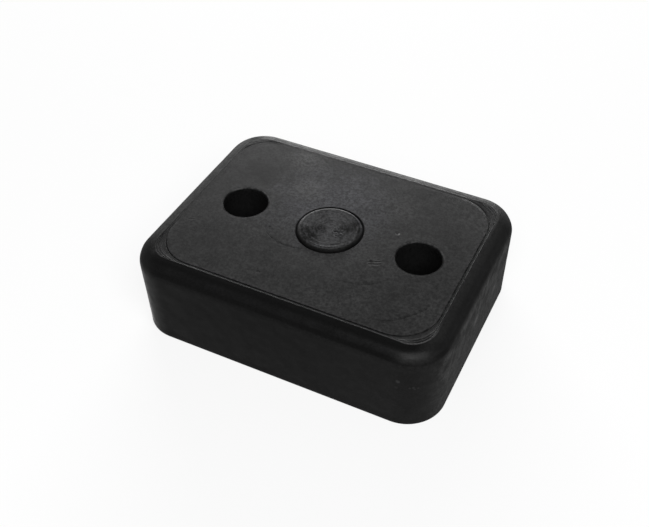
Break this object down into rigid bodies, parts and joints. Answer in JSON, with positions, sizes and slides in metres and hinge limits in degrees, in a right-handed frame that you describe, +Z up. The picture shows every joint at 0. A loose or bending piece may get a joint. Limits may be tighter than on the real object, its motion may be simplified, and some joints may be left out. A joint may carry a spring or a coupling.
{
  "type": "rubber buffer block",
  "caption": "Rectangular moulded black rubber buffer with rounded corners, a rolled upper edge, recessed bolt holes and a low round centre pad.",
  "frame": {"origin": "centre of the flat base", "axes": "+Z up from the base to the struck face, +X along the length, through both bolt holes"},
  "size_m": [0.085, 0.0644, 0.0254],
  "materials": {
    "rubber": "matt, as moulded"
  },
  "bodies": {
    "root": {"block": "rubber"}
  },
  "joints": []
}
